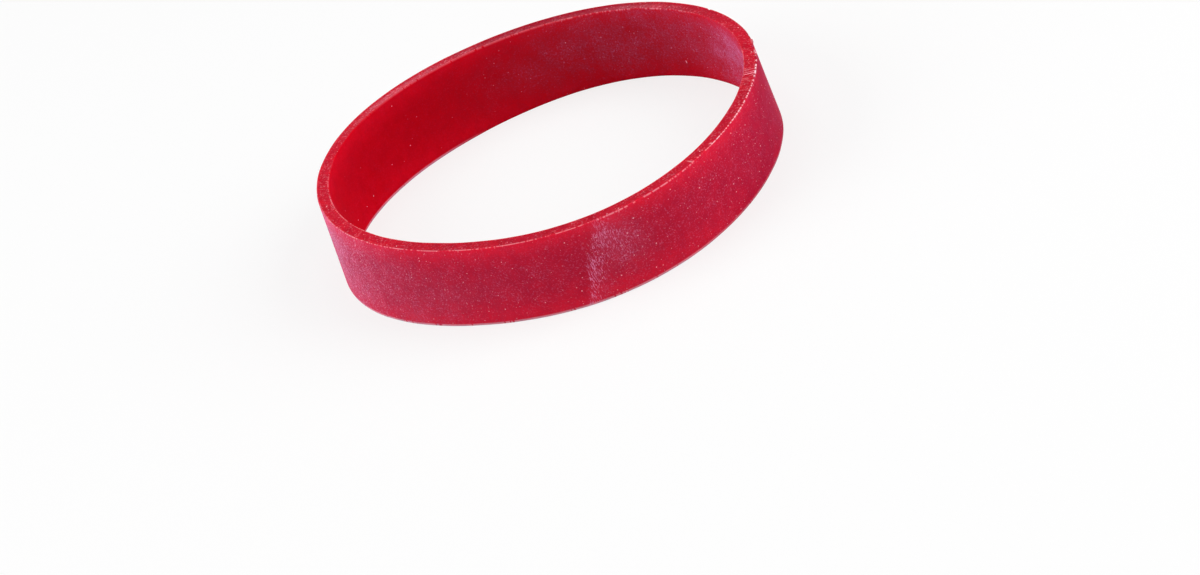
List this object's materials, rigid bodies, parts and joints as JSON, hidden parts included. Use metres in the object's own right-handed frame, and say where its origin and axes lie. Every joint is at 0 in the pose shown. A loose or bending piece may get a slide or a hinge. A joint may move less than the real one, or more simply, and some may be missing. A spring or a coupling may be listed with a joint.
{
  "type": "rubber band",
  "caption": "Wide flat endless rubber band standing relaxed on its cut edge, a soft ring that stretches around a bundle and holds it together.",
  "frame": {"origin": "middle of the bounding box, on the plane of the cut edge that the band stands on", "axes": "+Z along the axis of the loop, from the cut edge it stands on to the upper one; +X and +Y lie across the loop"},
  "size_m": [0.0528, 0.051, 0.0104],
  "materials": {
    "red_rubber": "translucent red natural rubber, matt, with a pale dusty bloom and knife-cut edges"
  },
  "bodies": {
    "root": {"rubber_band": "red_rubber"}
  },
  "joints": []
}
